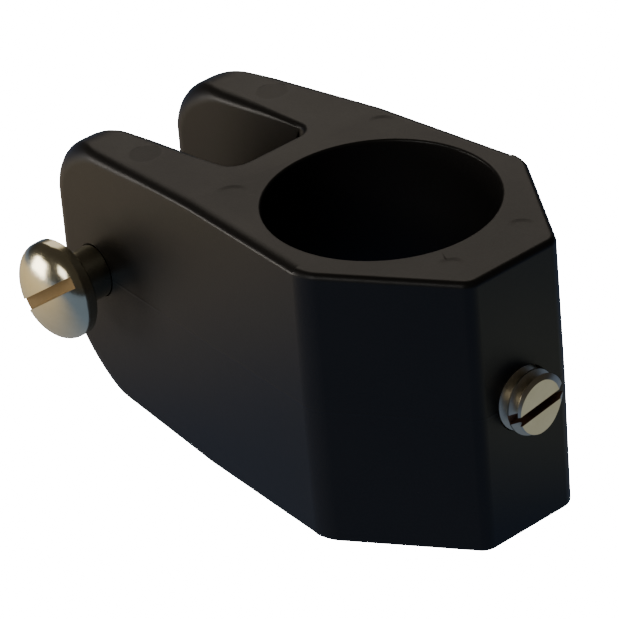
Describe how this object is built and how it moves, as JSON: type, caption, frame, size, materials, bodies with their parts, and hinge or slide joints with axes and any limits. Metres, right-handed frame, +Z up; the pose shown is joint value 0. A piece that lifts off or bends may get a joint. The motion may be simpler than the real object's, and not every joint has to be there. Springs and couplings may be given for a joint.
{
  "type": "jaw slide",
  "caption": "Moulded black nylon slide for a canopy frame: a vertical tube bore with a slotted set screw through its nose, and two jaws crossed by a slotted clamping screw.",
  "frame": {"origin": "on the axis of the tube bore, at the body's lower end face", "axes": "+Z up along the tube bore, +X from the bore towards the nose with the set screw, the jaws point to -X and the jaw screw's head is on the -Y side"},
  "size_m": [0.0579, 0.0329, 0.0292],
  "materials": {
    "nylon": "satin moulded black nylon",
    "screw_steel": "polished stainless steel",
    "set_screw_steel": "plain stainless steel",
    "insert_brass": "turned brass"
  },
  "bodies": {
    "slide_body": {"body": "nylon"},
    "jaw_screw_thread": {"jaw_screw_insert": "insert_brass"},
    "jaw_screw_shaft": {"jaw_screw": "screw_steel"},
    "set_screw_thread": {"set_screw_insert": "insert_brass"},
    "set_screw_shaft": {"set_screw": "set_screw_steel"}
  },
  "joints": [
    {"name": "jaw_screw_turn", "type": "hinge", "parent": "slide_body", "child": "jaw_screw_thread", "pos_m": [-0.0308, 0, 0.0146], "axis": [0, 1, 0], "range_deg": [-408.2, 1156.6]},
    {"name": "jaw_screw_travel", "type": "slide", "parent": "jaw_screw_thread", "child": "jaw_screw_shaft", "axis": [0, 1, 0], "range_m": [-0.0012, 0.0034]},
    {"name": "set_screw_turn", "type": "hinge", "parent": "slide_body", "child": "set_screw_thread", "pos_m": [0.0179, 0, 0.0146], "axis": [-1, 0, 0], "range_deg": [-1275.6, 680.4]},
    {"name": "set_screw_travel", "type": "slide", "parent": "set_screw_thread", "child": "set_screw_shaft", "axis": [-1, 0, 0], "range_m": [-0.0045, 0.0024]}
  ],
  "couplings": [
    {"joint": "jaw_screw_turn", "follows": "jaw_screw_travel", "rad_per_m": 5936.9},
    {"joint": "set_screw_turn", "follows": "set_screw_travel", "rad_per_m": 4947.4}
  ]
}
